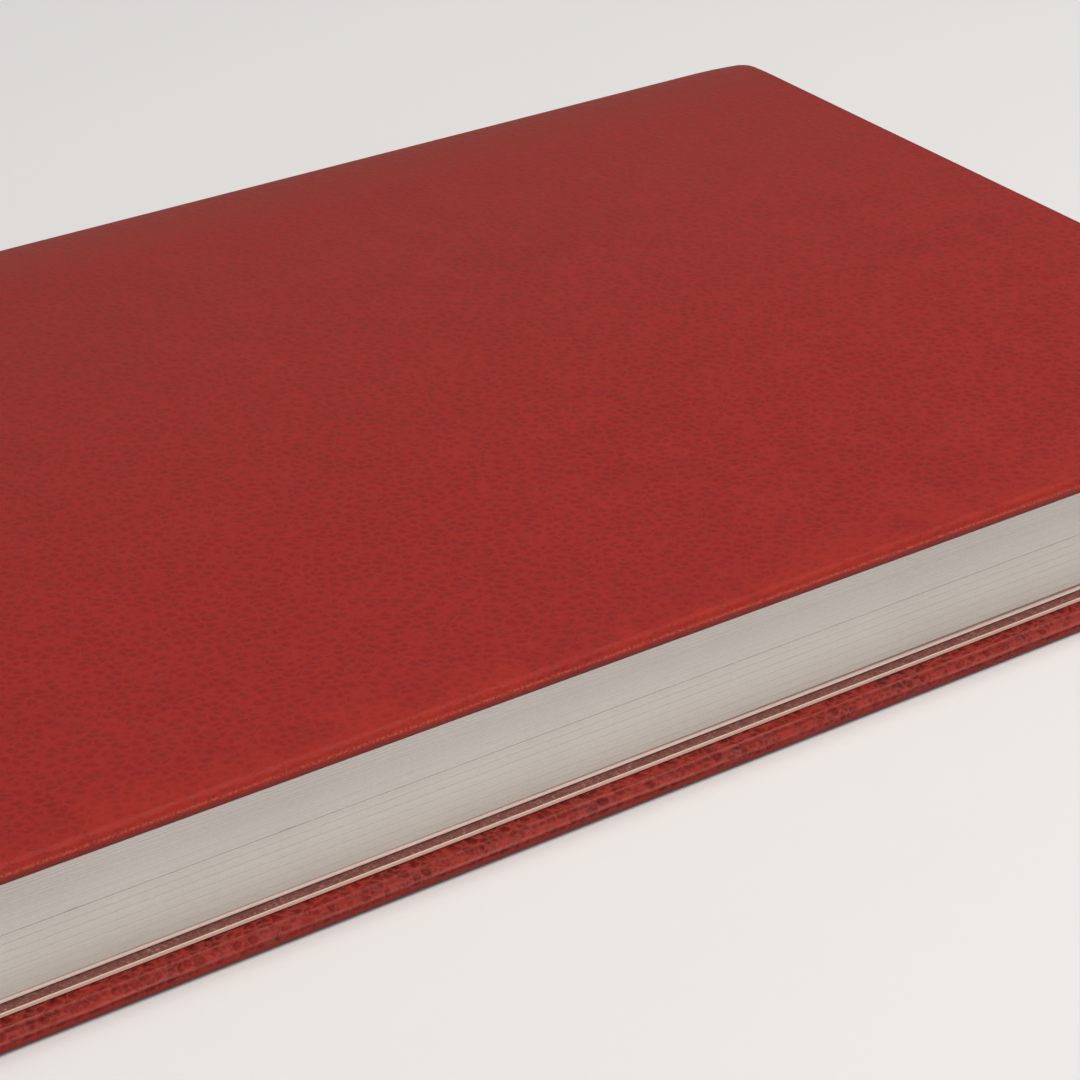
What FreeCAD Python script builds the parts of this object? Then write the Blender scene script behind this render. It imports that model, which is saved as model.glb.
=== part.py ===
import FreeCAD, Part
import math
import os

# Case-bound leather notebook, lying on its back cover. Millimetres.
# Origin: middle of the underside. +X from the spine to the fore-edge, +Y to the head, +Z up.

# Leaves and the block they are sewn into
leafDepth = 140.0
leafHeight = 216.0
blockThick = 16.4
sectionCount = 14
sectionGap = 0.04
middleGap = 0.12

# Covers
foreSquare = 4.6
endSquare = 5.0
leatherThick = 0.6
boardThick = 1.5
turnInWidth = 15.0
cornerRadius = 3.0
edgeRadius = 1.1
infillThick = 0.55
infillGap = 0.2

# Endpapers
pastedownThick = 0.7
foreMargin = 2.9
endMargin = 3.2
flyleafThick = 0.5
flyleafBackGap = 0.3
paperGap = 0.05

# Spine and joints
jointWidth = 7.5
jointDrop = 0.6
spineDepth = 6.4
shoulderRadius = 5.0
spineCut = 35.0
stiffenerThick = 0.8
stiffenerEnd = 62.0
capLength = 12.0
capRadius = 0.45

# Sewing and the linings of the block's back
tapeThick = 0.3
tapeWidth = 10.0
tapeStations = {"tape_tail": -65.0, "tape_middle": 0.0, "tape_head": 65.0}
threadRadius = 0.2
kettleStation = 100.0
mullThick = 0.3
mullLength = 192.0
flapWidth = 25.0
liningThick = 0.25
liningInset = 1.0
beadRadius = 1.1
skirtStart = 97.0

# Worked out from the values above
coverThick = 2 * leatherThick + boardThick
blockBase = coverThick + pastedownThick + paperGap + flyleafThick + paperGap
overall = 2 * blockBase + blockThick
halfHeight = leafHeight / 2 + endSquare
halfLeaf = leafHeight / 2
coverDepth = spineDepth + leafDepth + foreSquare
foreEdge = coverDepth / 2
leafFore = foreEdge - foreSquare
backPlane = leafFore - leafDepth
boardStart = backPlane + jointWidth
sectionThick = (blockThick - middleGap - (sectionCount - 2) * sectionGap) / sectionCount
threadPlane = backPlane - tapeThick - threadRadius
mullFace = backPlane - tapeThick - 2 * threadRadius
liningFace = mullFace - mullThick


def box(x0, x1, y0, y1, z0, z1):
    return Part.makeBox(x1 - x0, y1 - y0, z1 - z0, FreeCAD.Vector(x0, y0, z0))


def flipped(shape):
    """The same piece on the front cover: mirrored in the plane at half thickness."""
    return shape.mirror(FreeCAD.Vector(0, 0, overall / 2), FreeCAD.Vector(0, 0, 1))


def roundedPlate(x0, x1, half, z0, z1, radius):
    """A plate whose two fore-edge corners are rounded in plan."""
    plate = box(x0, x1, -half, half, z0, z1)
    corners = [
        e for e in plate.Edges
        if e.BoundBox.ZLength > 0.9 * (z1 - z0) and e.BoundBox.XMin > x1 - 0.01
    ]
    return plate.makeFillet(radius, corners)


# Back cover; the front cover's pieces are the same ones flipped

def boardPiece():
    return roundedPlate(
        boardStart, foreEdge - leatherThick, halfHeight - leatherThick,
        leatherThick, leatherThick + boardThick, cornerRadius - leatherThick)


def coverLeather():
    """Skin of one board: outside face, three wrapped edges and the turn-ins."""
    hide = roundedPlate(boardStart, foreEdge, halfHeight, 0, coverThick, cornerRadius)
    rims = [
        e for e in hide.Edges
        if e.BoundBox.ZLength < 0.01 and e.BoundBox.XMax > boardStart + 0.01
    ]
    hide = hide.makeFillet(edgeRadius, rims)
    pocket = box(
        boardStart, foreEdge - turnInWidth,
        turnInWidth - halfHeight, halfHeight - turnInWidth,
        coverThick - leatherThick, coverThick)
    return hide.cut(boardPiece()).cut(pocket)


def infillPiece():
    z0 = leatherThick + boardThick
    reach = halfHeight - turnInWidth - infillGap
    return box(
        boardStart + flapWidth + infillGap, foreEdge - turnInWidth - infillGap,
        -reach, reach, z0, z0 + infillThick)


def tapeSlips():
    """The ends of the three tapes, glued to the inside of the board."""
    z0 = leatherThick + boardThick
    slips = [
        box(boardStart, boardStart + flapWidth, y - tapeWidth / 2, y + tapeWidth / 2,
            z0, z0 + tapeThick)
        for y in tapeStations.values()
    ]
    return Part.makeCompound(slips)


def mullFlap():
    z0 = leatherThick + boardThick
    flap = box(
        boardStart, boardStart + flapWidth, -mullLength / 2, mullLength / 2,
        z0, z0 + infillThick)
    return flap.cut(tapeSlips())


def pastedownPiece():
    reach = halfHeight - endMargin
    return box(boardStart, foreEdge - foreMargin, -reach, reach,
               coverThick, coverThick + pastedownThick)


def flyleafPiece():
    z0 = blockBase - paperGap - flyleafThick
    return box(backPlane + flyleafBackGap, leafFore, -halfLeaf, halfLeaf,
               z0, z0 + flyleafThick)


# Spine: two shoulder arcs and a shallow arc between them, all tangent

midHeight = overall / 2
shoulderCentreZ = overall - jointDrop - shoulderRadius
shoulderDrop = shoulderCentreZ - midHeight
spineRadius = (spineDepth ** 2 + shoulderDrop ** 2 - shoulderRadius ** 2) / (
    2 * (spineDepth - shoulderRadius))
spineCentreX = backPlane - spineDepth + spineRadius
turnAngle = 90 - math.degrees(math.asin(shoulderDrop / (spineRadius - shoulderRadius)))


def shoulderPoint(angle, depth):
    """Point on the upper shoulder, angle from straight up, depth below the surface."""
    r = shoulderRadius - depth
    a = math.radians(angle)
    return FreeCAD.Vector(
        backPlane - r * math.sin(a), 0, shoulderCentreZ + r * math.cos(a))


def lowered(point):
    return FreeCAD.Vector(point.x, point.y, overall - point.z)


def spineCurve(start, depth):
    """Edges from the upper shoulder round to the lower one, depth below the surface."""
    first = shoulderPoint(start, depth)
    half = shoulderPoint((start + turnAngle) / 2, depth)
    turn = shoulderPoint(turnAngle, depth)
    middle = FreeCAD.Vector(spineCentreX - spineRadius + depth, 0, midHeight)
    return [
        Part.Arc(first, half, turn).toShape(),
        Part.Arc(turn, middle, lowered(turn)).toShape(),
        Part.Arc(lowered(turn), lowered(half), lowered(first)).toShape(),
    ]


def spineLayer(start, outer, inner, y0, y1):
    """A curved strip of the spine between two depths and two stations along it."""
    outside = spineCurve(start, outer)
    inside = spineCurve(start, inner)
    near = Part.makeLine(shoulderPoint(start, outer), shoulderPoint(start, inner))
    far = Part.makeLine(
        lowered(shoulderPoint(start, outer)), lowered(shoulderPoint(start, inner)))
    loop = Part.Wire(Part.__sortEdges__(outside + inside + [near, far]))
    strip = Part.Face(loop).extrude(FreeCAD.Vector(0, y1 - y0, 0))
    strip.translate(FreeCAD.Vector(0, y0, 0))
    return strip


def spineLeather():
    """Outside strip, folded over the stiffener at the head and the tail."""
    inner = leatherThick + stiffenerThick
    hide = spineLayer(spineCut, 0, leatherThick, -halfHeight, halfHeight)
    for side in (-1, 1):
        tip = side * halfHeight
        fold = side * (halfHeight - leatherThick)
        deep = side * (halfHeight - capLength)
        cap = spineLayer(stiffenerEnd, leatherThick, inner, min(tip, fold), max(tip, fold))
        lap = spineLayer(
            stiffenerEnd, inner, inner + leatherThick, min(tip, deep), max(tip, deep))
        hide = hide.fuse([cap, lap])
    hide = hide.removeSplitter()
    rims = [
        e for e in hide.Edges
        if e.BoundBox.YLength < 0.01 and abs(e.BoundBox.YMax) > halfHeight - 0.01
        and isOuter(e)
    ]
    return hide.makeFillet(capRadius, rims)


def isOuter(edge):
    """True for an edge whose middle lies on the spine's outside surface."""
    p = edge.valueAt((edge.FirstParameter + edge.LastParameter) / 2)
    depths = [c.distToShape(Part.Vertex(p.x, 0, p.z))[0] for c in spineCurve(spineCut, 0)]
    return min(depths) < 0.01


def spineStiffener():
    return spineLayer(
        stiffenerEnd, leatherThick, leatherThick + stiffenerThick,
        leatherThick - halfHeight, halfHeight - leatherThick)


def jointLayer(outer, inner, y0, y1):
    """Flexible strip from the front board's edge to where the spine piece starts."""
    def edgeOfBoard(depth):
        return FreeCAD.Vector(boardStart, 0, overall - depth)

    def bend(depth):
        return Part.Arc(
            shoulderPoint(0, depth), shoulderPoint(spineCut / 2, depth),
            shoulderPoint(spineCut, depth)).toShape()

    loop = Part.Wire(Part.__sortEdges__([
        Part.makeLine(edgeOfBoard(outer), shoulderPoint(0, outer)), bend(outer),
        Part.makeLine(shoulderPoint(spineCut, outer), shoulderPoint(spineCut, inner)),
        bend(inner), Part.makeLine(shoulderPoint(0, inner), edgeOfBoard(inner)),
        Part.makeLine(edgeOfBoard(inner), edgeOfBoard(outer)),
    ]))
    strip = Part.Face(loop).extrude(FreeCAD.Vector(0, y1 - y0, 0))
    strip.translate(FreeCAD.Vector(0, y0, 0))
    return strip


def frontJointLeather():
    """Joint strip, doubled at the head and the tail by its own turn-in."""
    hide = jointLayer(0, leatherThick, -halfHeight, halfHeight)
    reach = halfHeight - turnInWidth
    laps = [
        jointLayer(leatherThick, 2 * leatherThick, reach, halfHeight),
        jointLayer(leatherThick, 2 * leatherThick, -halfHeight, -reach),
    ]
    return hide.fuse(laps).removeSplitter()


# Page block

def sectionBase(index):
    """Underside of a section, counted from 0 at the back cover."""
    extra = middleGap - sectionGap if index >= sectionCount / 2 else 0
    return blockBase + index * (sectionThick + sectionGap) + extra


def sectionPiece(index):
    """One folded section: flat fore-edge, rounded fold at the back."""
    z0 = sectionBase(index)
    r = sectionThick / 2
    fold = Part.makeCylinder(
        r, leafHeight, FreeCAD.Vector(backPlane + r, -halfLeaf, z0 + r),
        FreeCAD.Vector(0, 1, 0))
    leaves = box(backPlane + r, leafFore, -halfLeaf, halfLeaf, z0, z0 + sectionThick)
    return leaves.fuse(fold).removeSplitter()


def tapePiece(y):
    return box(backPlane - tapeThick, backPlane, y - tapeWidth / 2, y + tapeWidth / 2,
               blockBase, blockBase + blockThick)


def stitch(y, z):
    """Thread of one section over one tape, with both ends going into the fold."""
    reach = tapeWidth / 2 + 2 * threadRadius
    run = Part.makeCylinder(
        threadRadius, 2 * reach, FreeCAD.Vector(threadPlane, y - reach, z),
        FreeCAD.Vector(0, 1, 0))
    legs = [
        Part.makeCylinder(
            threadRadius, backPlane - threadPlane,
            FreeCAD.Vector(threadPlane, y + side * (reach - threadRadius), z),
            FreeCAD.Vector(1, 0, 0))
        for side in (-1, 1)
    ]
    return run.fuse(legs)


def sewingThread():
    """Stitches over the tapes, and a kettle-stitch chain near each end."""
    heights = [sectionBase(i) + sectionThick / 2 for i in range(sectionCount)]
    pieces = [stitch(y, z) for y in tapeStations.values() for z in heights]
    for side in (-1, 1):
        pieces.append(Part.makeCylinder(
            threadRadius, heights[-1] - heights[0],
            FreeCAD.Vector(backPlane - threadRadius, side * kettleStation, heights[0]),
            FreeCAD.Vector(0, 0, 1)))
    return Part.makeCompound(pieces)


def mullPiece():
    return box(mullFace - mullThick, mullFace, -mullLength / 2, mullLength / 2,
               blockBase, blockBase + blockThick)


def spineLining():
    reach = halfLeaf - liningInset
    return box(liningFace - liningThick, liningFace, -reach, reach,
               blockBase, blockBase + blockThick)


def headband(side):
    """Rolled bead on the end of the block, with the skirt glued to its back."""
    face = side * (halfLeaf + paperGap)
    top = face + side * 2 * beadRadius
    axisX = liningFace + beadRadius
    axisY = face + side * beadRadius
    bead = Part.makeCylinder(
        beadRadius, blockThick, FreeCAD.Vector(axisX, axisY, blockBase),
        FreeCAD.Vector(0, 0, 1))
    root = box(liningFace, axisX, min(face, axisY), max(face, axisY),
               blockBase, blockBase + blockThick)
    start = side * skirtStart
    skirt = box(liningFace, mullFace, min(start, axisY), max(start, axisY),
                blockBase, blockBase + blockThick)
    return bead.fuse([root, skirt]).removeSplitter()


def export(name, shape):
    shape.exportStep(f"parts/{name}.step")
    print(name, "valid" if shape.isValid() else "NOT VALID", len(shape.Solids),
          round(shape.Volume, 2))


def main():
    os.makedirs("parts", exist_ok=True)
    coverPieces = {
        "board": boardPiece(), "cover_leather": coverLeather(), "infill": infillPiece(),
        "tape_slips": tapeSlips(), "mull_flap": mullFlap(), "pastedown": pastedownPiece(),
        "flyleaf": flyleafPiece(),
    }
    for name, shape in coverPieces.items():
        export("back_" + name, shape)
        export("front_" + name, flipped(shape))
    joint = frontJointLeather()
    export("front_joint_leather", joint)
    export("back_joint_leather", flipped(joint))
    export("spine_leather", spineLeather())
    export("spine_stiffener", spineStiffener())
    for index in range(sectionCount):
        export(f"section_{index + 1:02d}", sectionPiece(index))
    for name, y in tapeStations.items():
        export(name, tapePiece(y))
    export("sewing_thread", sewingThread())
    export("mull", mullPiece())
    export("spine_lining", spineLining())
    export("headband_head", headband(1))
    export("headband_tail", headband(-1))
    print("overall", coverDepth, 2 * halfHeight, overall)
    print("hinge x", backPlane, "board edge", boardStart, "section", sectionThick)


main()
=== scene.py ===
import math
import random

import bmesh
import bpy
import numpy as np
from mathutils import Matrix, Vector, noise


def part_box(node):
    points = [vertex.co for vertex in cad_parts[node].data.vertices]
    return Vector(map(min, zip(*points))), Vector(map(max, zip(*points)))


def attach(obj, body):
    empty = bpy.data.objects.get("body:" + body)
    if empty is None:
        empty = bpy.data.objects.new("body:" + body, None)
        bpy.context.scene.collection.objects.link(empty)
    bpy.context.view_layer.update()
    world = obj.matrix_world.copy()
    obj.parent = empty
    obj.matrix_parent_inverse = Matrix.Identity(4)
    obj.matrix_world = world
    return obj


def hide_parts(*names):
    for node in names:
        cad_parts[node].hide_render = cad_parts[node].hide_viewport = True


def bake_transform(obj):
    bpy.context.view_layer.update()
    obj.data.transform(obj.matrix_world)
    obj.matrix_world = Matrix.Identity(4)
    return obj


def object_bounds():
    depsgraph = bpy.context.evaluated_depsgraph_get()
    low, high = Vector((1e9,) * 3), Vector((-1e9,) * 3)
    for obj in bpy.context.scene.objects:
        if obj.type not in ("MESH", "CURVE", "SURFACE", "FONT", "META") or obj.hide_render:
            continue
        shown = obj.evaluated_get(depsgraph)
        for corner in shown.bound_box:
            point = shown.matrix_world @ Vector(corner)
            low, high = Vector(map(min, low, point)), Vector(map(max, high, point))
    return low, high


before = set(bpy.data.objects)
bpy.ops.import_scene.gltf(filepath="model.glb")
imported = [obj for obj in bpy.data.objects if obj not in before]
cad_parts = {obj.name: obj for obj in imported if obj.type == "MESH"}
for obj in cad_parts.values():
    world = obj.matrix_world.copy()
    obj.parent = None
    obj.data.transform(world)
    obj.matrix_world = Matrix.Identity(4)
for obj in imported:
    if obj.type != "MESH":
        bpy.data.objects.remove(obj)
cadLow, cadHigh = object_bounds()
print("frame loaded")

mm = 0.001
zTop = cadHigh.z
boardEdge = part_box("front_cover_leather")[0].x   # spine side of both boards
foreEdge = cadHigh.x
halfHeight = cadHigh.y
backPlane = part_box("section_01")[0].x            # the folds of the sections
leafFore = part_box("section_01")[1].x
hingeX = backPlane
middleZ = zTop / 2


def finishMesh(name, verts, faces, material, weldAt=0.002 * mm, sharp=40, values=None):
    mesh = bpy.data.meshes.new(name)
    mesh.from_pydata([tuple(v) for v in verts], [], faces)
    for title, numbers in (values or {}).items():
        mesh.attributes.new(title, "FLOAT", "POINT").data.foreach_set("value", numbers)
    b = bmesh.new()
    b.from_mesh(mesh)
    bmesh.ops.remove_doubles(b, verts=b.verts, dist=weldAt)
    bmesh.ops.dissolve_degenerate(b, edges=b.edges, dist=weldAt)
    bmesh.ops.recalc_face_normals(b, faces=b.faces)
    b.to_mesh(mesh)
    b.free()
    mesh.polygons.foreach_set("use_smooth", [True] * len(mesh.polygons))
    mesh.set_sharp_from_angle(angle=math.radians(sharp))
    piece = bpy.data.objects.new(name, mesh)
    bpy.context.scene.collection.objects.link(piece)
    mesh.materials.append(material)
    rememberPlace(piece)
    return piece


def rememberPlace(piece):
    # rest position, kept on the mesh so that a grain stays put when the piece bends
    mesh = piece.data
    co = np.zeros(len(mesh.vertices) * 3, np.float32)
    mesh.vertices.foreach_get("co", co)
    place = mesh.attributes.new("restPlace", "FLOAT_VECTOR", "POINT")
    place.data.foreach_set("vector", co)


def gridFaces(rows, cols, first=0, flip=False):
    faces = []
    for r in range(rows - 1):
        for c in range(cols - 1):
            a = first + r * cols + c
            quad = (a, a + 1, a + cols + 1, a + cols)
            faces.append(quad[::-1] if flip else quad)
    return faces


def sheetSolid(name, outer, inner, material, sharp=40, meets=False, values=None):
    # closed sheet with real thickness: two grids of points joined round their border;
    # meets is for a last row whose two halves lie on each other and are welded instead
    rows, cols = outer.shape[:2]
    count = rows * cols
    verts = np.concatenate([outer.reshape(-1, 3), inner.reshape(-1, 3)])
    faces = gridFaces(rows, cols) + gridFaces(rows, cols, count, True)
    ring = [c for c in range(cols)]
    ring += [r * cols + cols - 1 for r in range(1, rows)]
    ring += [(rows - 1) * cols + c for c in range(cols - 2, -1, -1)]
    ring += [r * cols for r in range(rows - 2, 0, -1)]
    for i, a in enumerate(ring):
        b = ring[(i + 1) % len(ring)]
        if not (meets and min(a, b) >= (rows - 1) * cols):
            faces.append((b, a, a + count, b + count))
    both = {title: list(grid.ravel()) * 2 for title, grid in (values or {}).items()}
    return finishMesh(name, verts, faces, material, sharp=sharp, values=both)


def prism(name, loop, stations, material, sharp=40):
    # closed outline in X and Z, carried along Y through the stations
    n = len(loop)
    verts = [(x, y, z) for y in stations for x, z in loop]
    faces = []
    for s in range(len(stations) - 1):
        for i in range(n):
            j = (i + 1) % n
            faces.append((s * n + i, s * n + j, (s + 1) * n + j, (s + 1) * n + i))
    faces.append(tuple(range(n)))
    last = (len(stations) - 1) * n
    faces.append(tuple(range(last + n - 1, last - 1, -1)))
    return finishMesh(name, verts, faces, material, sharp=sharp)


def newMaterial(name):
    mat = bpy.data.materials.new(name)
    mat.use_nodes = True
    tree = mat.node_tree
    tree.nodes.clear()
    out = tree.nodes.new("ShaderNodeOutputMaterial")
    shader = tree.nodes.new("ShaderNodeBsdfPrincipled")
    tree.links.new(shader.outputs[0], out.inputs[0])
    return mat, tree, shader


def restVector(tree, scale=(1, 1, 1)):
    place = tree.nodes.new("ShaderNodeAttribute")
    place.attribute_name = "restPlace"
    stretch = tree.nodes.new("ShaderNodeMapping")
    stretch.inputs["Scale"].default_value = scale
    tree.links.new(place.outputs["Vector"], stretch.inputs["Vector"])
    return stretch.outputs[0]


def objectVector(tree, scale=(1, 1, 1)):
    place = tree.nodes.new("ShaderNodeTexCoord")
    stretch = tree.nodes.new("ShaderNodeMapping")
    stretch.inputs["Scale"].default_value = scale
    tree.links.new(place.outputs["Object"], stretch.inputs["Vector"])
    return stretch.outputs[0]


def noiseNode(tree, vector, scale, detail=3, rough=0.5, distort=0):
    n = tree.nodes.new("ShaderNodeTexNoise")
    n.inputs["Scale"].default_value = scale
    n.inputs["Detail"].default_value = detail
    n.inputs["Roughness"].default_value = rough
    n.inputs["Distortion"].default_value = distort
    tree.links.new(vector, n.inputs["Vector"])
    return n.outputs[0]


def ramp(tree, value, stops):
    r = tree.nodes.new("ShaderNodeValToRGB")
    while len(r.color_ramp.elements) < len(stops):
        r.color_ramp.elements.new(0.5)
    for element, (at, color) in zip(r.color_ramp.elements, stops):
        element.position = at
        element.color = (*color, 1)
    tree.links.new(value, r.inputs[0])
    return r.outputs[0]


def rangeNode(tree, value, low, high, toLow, toHigh):
    m = tree.nodes.new("ShaderNodeMapRange")
    for slot, number in zip(m.inputs[1:5], (low, high, toLow, toHigh)):
        slot.default_value = number
    tree.links.new(value, m.inputs[0])
    return m.outputs[0]


def mathNode(tree, kind, a, b):
    m = tree.nodes.new("ShaderNodeMath")
    m.operation = kind
    for slot, value in zip(m.inputs, (a, b)):
        if isinstance(value, (int, float)):
            slot.default_value = value
        else:
            tree.links.new(value, slot)
    return m.outputs[0]


def mixColor(tree, factor, a, b, kind="MIX"):
    m = tree.nodes.new("ShaderNodeMix")
    m.data_type = "RGBA"
    m.blend_type = kind
    for slot, value in zip((m.inputs[0], m.inputs[6], m.inputs[7]), (factor, a, b)):
        if isinstance(value, (int, float)):
            slot.default_value = value
        elif isinstance(value, tuple):
            slot.default_value = (*value, 1)
        else:
            tree.links.new(value, slot)
    return m.outputs[2]


def bumpNode(tree, height, strength, distance, after=None):
    b = tree.nodes.new("ShaderNodeBump")
    b.inputs["Strength"].default_value = strength
    b.inputs["Distance"].default_value = distance
    tree.links.new(height, b.inputs["Height"])
    if after is not None:
        tree.links.new(after, b.inputs["Normal"])
    return b.outputs[0]


hideLook = {
    "deep": (0.258, 0.0090, 0.0062),
    "base": (0.322, 0.0122, 0.0080),
    "light": (0.372, 0.0172, 0.0110),
    "sheenGrey": (0.252, 0.0345, 0.0250),    # painted sheen: greyer leather towards the spine and along the joint, standing in for grazing reflection
    "wearHighlight": (0.640, 0.105, 0.055),       # worn rim of the fore-edge, with a painted highlight line on the front board
    "glow": (0.400, 0.0230, 0.0105),     # warmer leather towards the fore-edge
    "edgeShade": (0.085, 0.017, 0.013),       # painted shade on the ends of the boards and under the fore-edge
    "ridgeHighlight": (0.500, 0.110, 0.090),      # painted highlight on the crests of the folds along the back board
    "spot": (0.030, 0.018, 0.012),       # one small dark blemish beside the endpaper
    "net": (0.390, 0.072, 0.058),        # stretched creases of the turned leather
    "cell": 1.35 * mm,
    "fine": 0.34 * mm,
    "roughness": 0.50,
    "specular": 0.22,
}


def leatherMaterial(name, contrast, depth, net):
    # contrast of the grain's tone, depth of its relief, share of pale creases
    look = hideLook
    mat, tree, shader = newMaterial(name)
    at = restVector(tree)
    wander = noiseNode(tree, at, 1 / (2.6 * look["cell"]), 2)
    bent = tree.nodes.new("ShaderNodeVectorMath")
    bent.operation = "MULTIPLY_ADD"
    tree.links.new(wander, bent.inputs[0])
    bent.inputs[1].default_value = (look["cell"] * 1.6,) * 3
    tree.links.new(at, bent.inputs[2])

    def cells(size, feature):
        v = tree.nodes.new("ShaderNodeTexVoronoi")
        v.feature = feature
        v.inputs["Scale"].default_value = 1 / size
        v.inputs["Randomness"].default_value = 0.85
        if feature == "SMOOTH_F1":
            v.inputs["Smoothness"].default_value = 0.35
        tree.links.new(bent.outputs[0], v.inputs["Vector"])
        return v.outputs["Distance"]

    if net:
        rumple = noiseNode(tree, at, 1 / (0.9 * look["cell"]), 3)
        twice = tree.nodes.new("ShaderNodeVectorMath")
        twice.operation = "MULTIPLY_ADD"
        tree.links.new(rumple, twice.inputs[0])
        twice.inputs[1].default_value = (look["cell"] * 0.9,) * 3
        tree.links.new(bent.outputs[0], twice.inputs[2])
        bent = twice
    dome = rangeNode(tree, cells(look["cell"], "SMOOTH_F1"), 0.05, 0.75, 1, 0)
    small = rangeNode(tree, cells(look["fine"] * 1.8, "SMOOTH_F1"), 0.05, 0.75, 1, 0)
    crease = rangeNode(tree, cells(look["cell"], "DISTANCE_TO_EDGE"), 0, 0.26 if net else 0.16, 1, 0)
    pores = noiseNode(tree, at, 1 / look["fine"], 4, 0.65)
    patch = noiseNode(tree, at, 1 / (38 * mm), 3, 0.55)
    mottle = noiseNode(tree, at, 1 / (7 * mm), 5, 0.65)

    tone = ramp(tree, mottle, [(0.28, look["deep"]), (0.50, look["base"]), (0.74, look["light"])])
    tone = mixColor(tree, rangeNode(tree, patch, 0.35, 0.70, 0.35, 0.85), tone, look["base"])
    hollow, crown = (1 - contrast, 1 + contrast * 0.35) if not net else (1.05, 1 - contrast)
    spread = (0.10, 0.52) if net > 0.3 else (0.2, 0.7)
    for value, ends, low, high in (
        (dome, spread, hollow, crown),
        (pores, (0.3, 0.75), 1 - contrast * 0.9, 1 + contrast * 0.6),
    ):
        shade = rangeNode(tree, value, *ends, low, high)
        tone = mixColor(tree, 1.0, tone, shadeColor(tree, shade), "MULTIPLY")
    if net:
        tone = mixColor(tree, mathNode(tree, "MULTIPLY", crease, net), tone, look["net"])

    apart = tree.nodes.new("ShaderNodeSeparateXYZ")
    tree.links.new(at, apart.inputs[0])
    # painted sheen: the leather greys towards the spine, most along the joint, in place of grazing reflection
    sheen = rangeNode(tree, apart.outputs[0], 35 * mm, boardEdge, 0, 0.45)
    sheenShare = mathNode(tree, "ADD", sheen, rangeNode(tree, apart.outputs[0], boardEdge + 6 * mm, hingeX, 0, 0.45))
    tone = mixColor(tree, sheenShare, tone, look["sheenGrey"])
    # worn, lighter line on the front board's fore-edge that is also a painted highlight
    edge = tree.nodes.new("ShaderNodeAttribute")
    edge.attribute_name = "edgeWearAndHighlight"
    wearHighlight = mathNode(tree, "MULTIPLY", edge.outputs["Fac"], rangeNode(tree, pores, 0.42, 0.58, 0.0, 0.8))
    glow = rangeNode(tree, apart.outputs[0], foreEdge - 9 * mm, foreEdge - 1 * mm, 0, 0.6)
    glow = mathNode(tree, "MULTIPLY", glow, rangeNode(tree, mottle, 0.35, 0.65, 0, 1))
    tone = mixColor(tree, glow, tone, look["glow"])
    tone = mixColor(tree, wearHighlight, tone, look["wearHighlight"])
    # painted highlight on the fold crests and painted shade in the grooves beside them
    foldShading = tree.nodes.new("ShaderNodeAttribute")
    foldShading.attribute_name = "foldLightAndShade"
    ridgeHighlight = rangeNode(tree, foldShading.outputs["Fac"], 0.1, 1.0, 0, 0.75)
    tone = mixColor(tree, ridgeHighlight, tone, look["ridgeHighlight"])
    groove = shadeColor(tree, rangeNode(tree, foldShading.outputs["Fac"], -0.9, 0, 0.60, 1))
    tone = mixColor(tree, 1.0, tone, groove, "MULTIPLY")
    # painted shade on the board ends and under the fore-edge
    edgeShade = tree.nodes.new("ShaderNodeAttribute")
    edgeShade.attribute_name = "paintedEdgeShade"
    tone = mixColor(tree, edgeShade.outputs["Fac"], tone, look["edgeShade"])
    if net > 0.3:
        spot = marks(tree, at, [(72.9 * mm, 25.5 * mm, 2.7 * mm)], (0.5 * mm, 0.9 * mm, 1 * mm), 0.7)
        tone = mixColor(tree, mathNode(tree, "MULTIPLY", spot, 0.8), tone, look["spot"])
    tree.links.new(tone, shader.inputs["Base Color"])

    rough = rangeNode(tree, dome, 0, 1, look["roughness"] + 0.14, look["roughness"] - 0.03)
    tree.links.new(rough, shader.inputs["Roughness"])
    grain = mathNode(tree, "ADD", dome, mathNode(tree, "MULTIPLY", small, 0.30))
    grain = mathNode(tree, "ADD", grain, mathNode(tree, "MULTIPLY", pores, 0.25))
    grain = mathNode(tree, "SUBTRACT", grain, mathNode(tree, "MULTIPLY", crease, 0.35))
    tree.links.new(bumpNode(tree, grain, 0.7, depth), shader.inputs["Normal"])
    shader.inputs["Specular IOR Level"].default_value = look["specular"]
    return mat


def marks(tree, at, places, reach, soften):
    # how near a point is to any of the small marks, 1 at the mark itself
    share = None
    for place in places:
        away = tree.nodes.new("ShaderNodeVectorMath")
        away.operation = "SUBTRACT"
        away.inputs[1].default_value = place
        tree.links.new(at, away.inputs[0])
        scaled = tree.nodes.new("ShaderNodeVectorMath")
        scaled.operation = "DIVIDE"
        scaled.inputs[1].default_value = reach
        tree.links.new(away.outputs[0], scaled.inputs[0])
        length = tree.nodes.new("ShaderNodeVectorMath")
        length.operation = "LENGTH"
        tree.links.new(scaled.outputs[0], length.inputs[0])
        near = rangeNode(tree, length.outputs["Value"], 1 - soften, 1, 1, 0)
        share = near if share is None else mathNode(tree, "MAXIMUM", share, near)
    return share


def shadeColor(tree, value):
    c = tree.nodes.new("ShaderNodeCombineColor")
    for i in range(3):
        tree.links.new(value, c.inputs[i])
    return c.outputs[0]


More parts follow.
